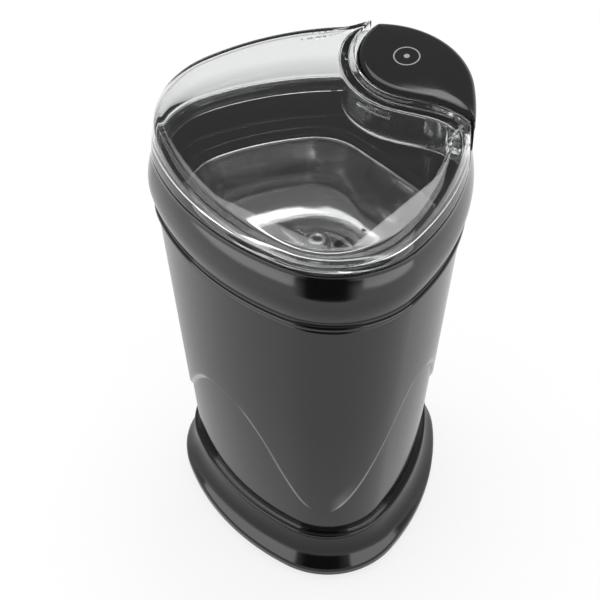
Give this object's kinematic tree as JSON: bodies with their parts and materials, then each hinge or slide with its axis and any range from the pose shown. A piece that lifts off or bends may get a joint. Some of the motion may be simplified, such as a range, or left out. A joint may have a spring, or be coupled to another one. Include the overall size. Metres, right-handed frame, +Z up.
{
  "type": "electric spice grinder",
  "caption": "Upright electric spice grinder: bowed three-sided casing, steel grinding bowl with a two-winged blade, clear lift-off lid with a sprung push button.",
  "frame": {"origin": "on the drive shaft's axis, at the table that the foot ring stands on", "axes": "+Z up along the drive shaft; +Y towards the rounded corner that carries the push button; +X completes the right-handed frame"},
  "size_m": [0.1036, 0.1019, 0.1732],
  "materials": {
    "body_plastic": "high gloss moulded ABS",
    "trim_plastic": "high gloss moulded ABS",
    "button_plastic": "high gloss moulded ABS",
    "clear_plastic": "clear moulded acrylic",
    "bowl_steel": "polished pressed stainless steel",
    "blade_steel": "ground stainless steel",
    "steel": "zinc plated",
    "core_steel": "varnished laminations",
    "copper": "enamelled copper",
    "bronze": "sintered bronze",
    "rubber": "matt moulded rubber",
    "inner_plastic": "moulded",
    "terminal_plastic": "moulded",
    "carbon": "pressed carbon"
  },
  "bodies": {
    "housing": {"base_ring": "trim_plastic", "bottom_plate": "inner_plastic", "rubber_foot_ring": "rubber", "case_screws": "steel", "body_shell": "body_plastic", "collar_ring": "trim_plastic", "bowl_gasket": "rubber", "grinding_bowl": "bowl_steel", "rod_spring": "steel", "rod_seal": "rubber", "switch_body": "inner_plastic", "lever_pin": "steel", "switch_bracket": "steel", "shaft_seal": "rubber", "upper_bearing": "bronze", "lower_bearing": "bronze", "motor_deck": "inner_plastic", "collar_screws": "steel", "rubber_dampers": "rubber", "hanger_screws": "steel", "upper_bracket": "steel", "lower_bracket": "steel", "tie_screws": "steel", "tie_spacers": "steel", "stator_core": "core_steel", "field_coils": "copper", "carbon_brushes": "carbon", "brush_holders": "bronze", "brush_springs": "steel", "cable_grommet": "rubber", "cord_clamp": "inner_plastic", "clamp_screws": "steel", "terminal_block": "terminal_plastic", "suppression_capacitor": "terminal_plastic", "thermal_fuse": "terminal_plastic"},
    "rotor": {"drive_shaft": "steel", "blade": "blade_steel", "blade_hub": "blade_steel", "armature_core": "core_steel", "armature_windings": "copper", "commutator": "copper", "cooling_fan": "inner_plastic"},
    "lid": {"lid_shell": "clear_plastic", "button_spring": "steel"},
    "button": {"button_cap": "button_plastic", "button_pusher": "inner_plastic"},
    "push_rod": {"transfer_rod": "inner_plastic"},
    "lever": {"switch_lever": "steel"},
    "plunger": {"switch_plunger": "inner_plastic"}
  },
  "joints": [
    {"name": "rotor_spin", "type": "hinge", "parent": "housing", "child": "rotor", "pos_m": [0, 0, 0.1], "axis": [0, 0, 1], "continuous": true},
    {"name": "lid_lift", "type": "slide", "parent": "housing", "child": "lid", "axis": [0, 0, 1], "range_m": [0, 0.08]},
    {"name": "button_press", "type": "slide", "parent": "lid", "child": "button", "axis": [0, 0, -1], "range_m": [0, 0.003], "stiffness_N_per_m": 600, "springref_m": -0.002, "deforming": ["button_spring"]},
    {"name": "rod_slide", "type": "slide", "parent": "housing", "child": "push_rod", "axis": [0, 0, -1], "range_m": [0, 0.003], "stiffness_N_per_m": 200, "springref_m": -0.002, "deforming": ["rod_spring"]},
    {"name": "lever_turn", "type": "hinge", "parent": "housing", "child": "lever", "pos_m": [0.00966, 0.04047, 0.0797], "axis": [0.6835, 0.7299, 0], "range_deg": [0, 20.5]},
    {"name": "plunger_slide", "type": "slide", "parent": "housing", "child": "plunger", "axis": [0, 0, -1], "range_m": [0, 0.001]}
  ],
  "couplings": [
    {"joint": "rod_slide", "follows": "button_press", "ratio": 1},
    {"joint": "lever_turn", "follows": "button_press", "rad_per_m": 116.36},
    {"joint": "plunger_slide", "follows": "button_press", "ratio": 0.3}
  ]
}
